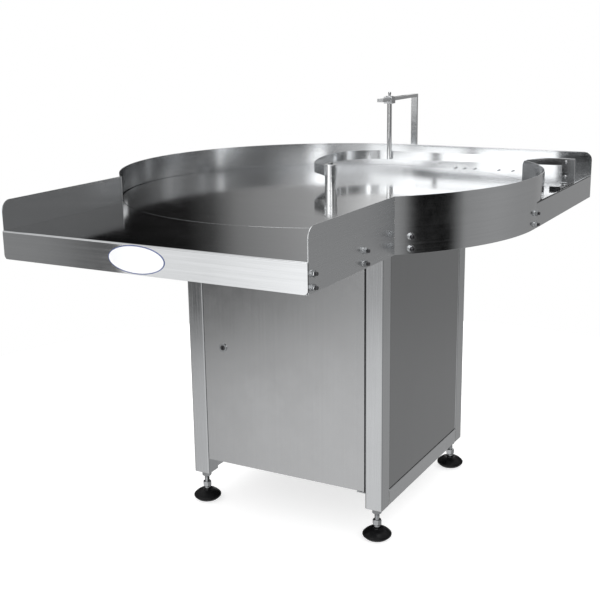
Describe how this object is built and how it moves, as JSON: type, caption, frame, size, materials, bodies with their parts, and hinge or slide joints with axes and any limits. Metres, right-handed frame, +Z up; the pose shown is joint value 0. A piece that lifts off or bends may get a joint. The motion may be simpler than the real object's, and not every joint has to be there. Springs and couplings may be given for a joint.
{
  "type": "bottle unscrambler",
  "caption": "Rotary bottle unscrambler: loading table, turning disc in a round guard, curved guide to an outlet lane, on a steel cabinet with levelling feet.",
  "frame": {"origin": "point on the floor below the disc axis, at the centre of the four levelling feet", "axes": "+Z up along the disc axis, +Y from the loading table's front to the back wall, +X towards the bottle outlet"},
  "size_m": [1.1974, 1.4837, 1.1478],
  "materials": {
    "stainless_sheet": "satin, fine grain",
    "bright_steel": "bright",
    "painted_casting": "semi-gloss enamel",
    "rotor_steel": "turned",
    "bronze": "machined",
    "black_plastic": "fine texture",
    "light_enclosure": "powder coat",
    "pad_rubber": "matt",
    "badge_white": "gloss, blank"
  },
  "bodies": {
    "root": {"leg_posts": "stainless_sheet", "frame_rails": "stainless_sheet", "side_panels": "stainless_sheet", "rear_panel": "stainless_sheet", "table_tray": "stainless_sheet", "table_ribs": "stainless_sheet", "loading_plate": "stainless_sheet", "outlet_plate": "stainless_sheet", "left_wall": "stainless_sheet", "right_wall": "stainless_sheet", "rear_guard": "stainless_sheet", "front_guard": "stainless_sheet", "guard_brackets": "stainless_sheet", "guard_bolts": "bright_steel", "plate_screws": "bright_steel", "outlet_foot": "stainless_sheet", "badge": "badge_white", "drive_plate": "painted_casting", "bearing_housing": "painted_casting", "shaft_bearings": "bright_steel", "gearbox_housing": "painted_casting", "motor_body": "painted_casting", "fan_cover": "black_plastic", "terminal_box": "painted_casting", "control_box": "light_enclosure", "cable_gland": "black_plastic", "hinge_brackets": "bright_steel", "latch_keeper": "stainless_sheet", "foot_jam_nuts": "bright_steel"},
    "turntable": {"disc": "stainless_sheet", "disc_ribs": "stainless_sheet", "hub_flange": "stainless_sheet", "hub_bolts": "bright_steel", "main_shaft": "bright_steel", "worm_wheel": "bronze", "centre_post": "bright_steel"},
    "worm_rotor": {"worm_shaft": "bright_steel", "motor_rotor": "rotor_steel", "motor_fan": "black_plastic"},
    "door": {"door_panel": "stainless_sheet", "lock_body": "bright_steel"},
    "lock_cam": {"lock_barrel": "bright_steel"},
    "knob": {"speed_knob": "black_plastic"},
    "rocker": {"power_rocker": "black_plastic"},
    "guide": {"guide_strip": "stainless_sheet", "pivot_cap": "bright_steel", "cap_bush": "bronze", "guide_rod": "bright_steel", "clamp_block": "stainless_sheet", "guide_bolts": "bright_steel", "guide_arm": "stainless_sheet", "end_plate": "stainless_sheet"},
    "foot_fl": {"foot_stud_fl": "bright_steel", "foot_pad_fl": "pad_rubber"},
    "foot_fr": {"foot_stud_fr": "bright_steel", "foot_pad_fr": "pad_rubber"},
    "foot_rl": {"foot_stud_rl": "bright_steel", "foot_pad_rl": "pad_rubber"},
    "foot_rr": {"foot_stud_rr": "bright_steel", "foot_pad_rr": "pad_rubber"}
  },
  "joints": [
    {"name": "disc_spin", "type": "hinge", "parent": "root", "child": "turntable", "pos_m": [0, 0, 0.895], "axis": [0, 0, -1], "continuous": true},
    {"name": "worm_spin", "type": "hinge", "parent": "root", "child": "worm_rotor", "pos_m": [0, 0.063, 0.741], "axis": [1, 0, 0], "continuous": true},
    {"name": "door_hinge", "type": "hinge", "parent": "root", "child": "door", "pos_m": [0.2435, -0.2955, 0.46], "axis": [0, 0, 1], "range_deg": [0, 105]},
    {"name": "lock_turn", "type": "hinge", "parent": "door", "child": "lock_cam", "pos_m": [-0.187, -0.3, 0.483], "axis": [0, -1, 0], "range_deg": [0, 90]},
    {"name": "speed_knob_turn", "type": "hinge", "parent": "root", "child": "knob", "pos_m": [-0.11, 0.17, 0.56], "axis": [0, -1, 0], "range_deg": [0, 270]},
    {"name": "power_switch", "type": "hinge", "parent": "root", "child": "rocker", "pos_m": [-0.18, 0.175, 0.56], "axis": [1, 0, 0], "range_deg": [0, 14]},
    {"name": "guide_height", "type": "slide", "parent": "root", "child": "guide", "axis": [0, 0, 1], "range_m": [0, 0.02]},
    {"name": "foot_fl_height", "type": "slide", "parent": "root", "child": "foot_fl", "axis": [0, 0, 1], "range_m": [-0.03, 0.015]},
    {"name": "foot_fr_height", "type": "slide", "parent": "root", "child": "foot_fr", "axis": [0, 0, 1], "range_m": [-0.03, 0.015]},
    {"name": "foot_rl_height", "type": "slide", "parent": "root", "child": "foot_rl", "axis": [0, 0, 1], "range_m": [-0.03, 0.015]},
    {"name": "foot_rr_height", "type": "slide", "parent": "root", "child": "foot_rr", "axis": [0, 0, 1], "range_m": [-0.03, 0.015]}
  ],
  "couplings": [
    {"joint": "worm_spin", "follows": "disc_spin", "ratio": 50}
  ]
}
